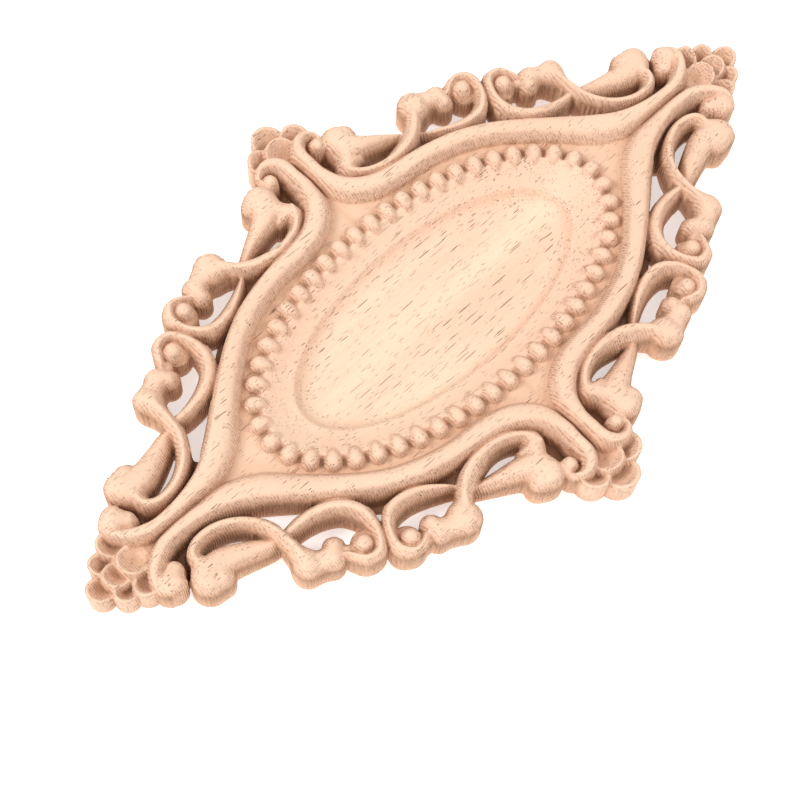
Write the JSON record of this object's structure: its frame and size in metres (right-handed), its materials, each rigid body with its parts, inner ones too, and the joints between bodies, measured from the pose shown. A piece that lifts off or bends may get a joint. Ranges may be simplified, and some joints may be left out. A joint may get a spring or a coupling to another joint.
{
  "type": "wood applique",
  "caption": "Flat-backed lozenge applique carved in relief, with a beaded oval dish, a double-curved moulding and a pierced border of scrolls.",
  "frame": {"origin": "centre of the flat back, the face that is glued to what it decorates", "axes": "+X along the length between the long tips, +Y across the width between the short tips, +Z out of the back towards the carved face"},
  "size_m": [0.2002, 0.12, 0.0101],
  "materials": {
    "bare_wood": "bare sanded pale hardwood with fine dark pores along its length, unfinished"
  },
  "bodies": {
    "root": {"carved_applique": "bare_wood"}
  },
  "joints": []
}
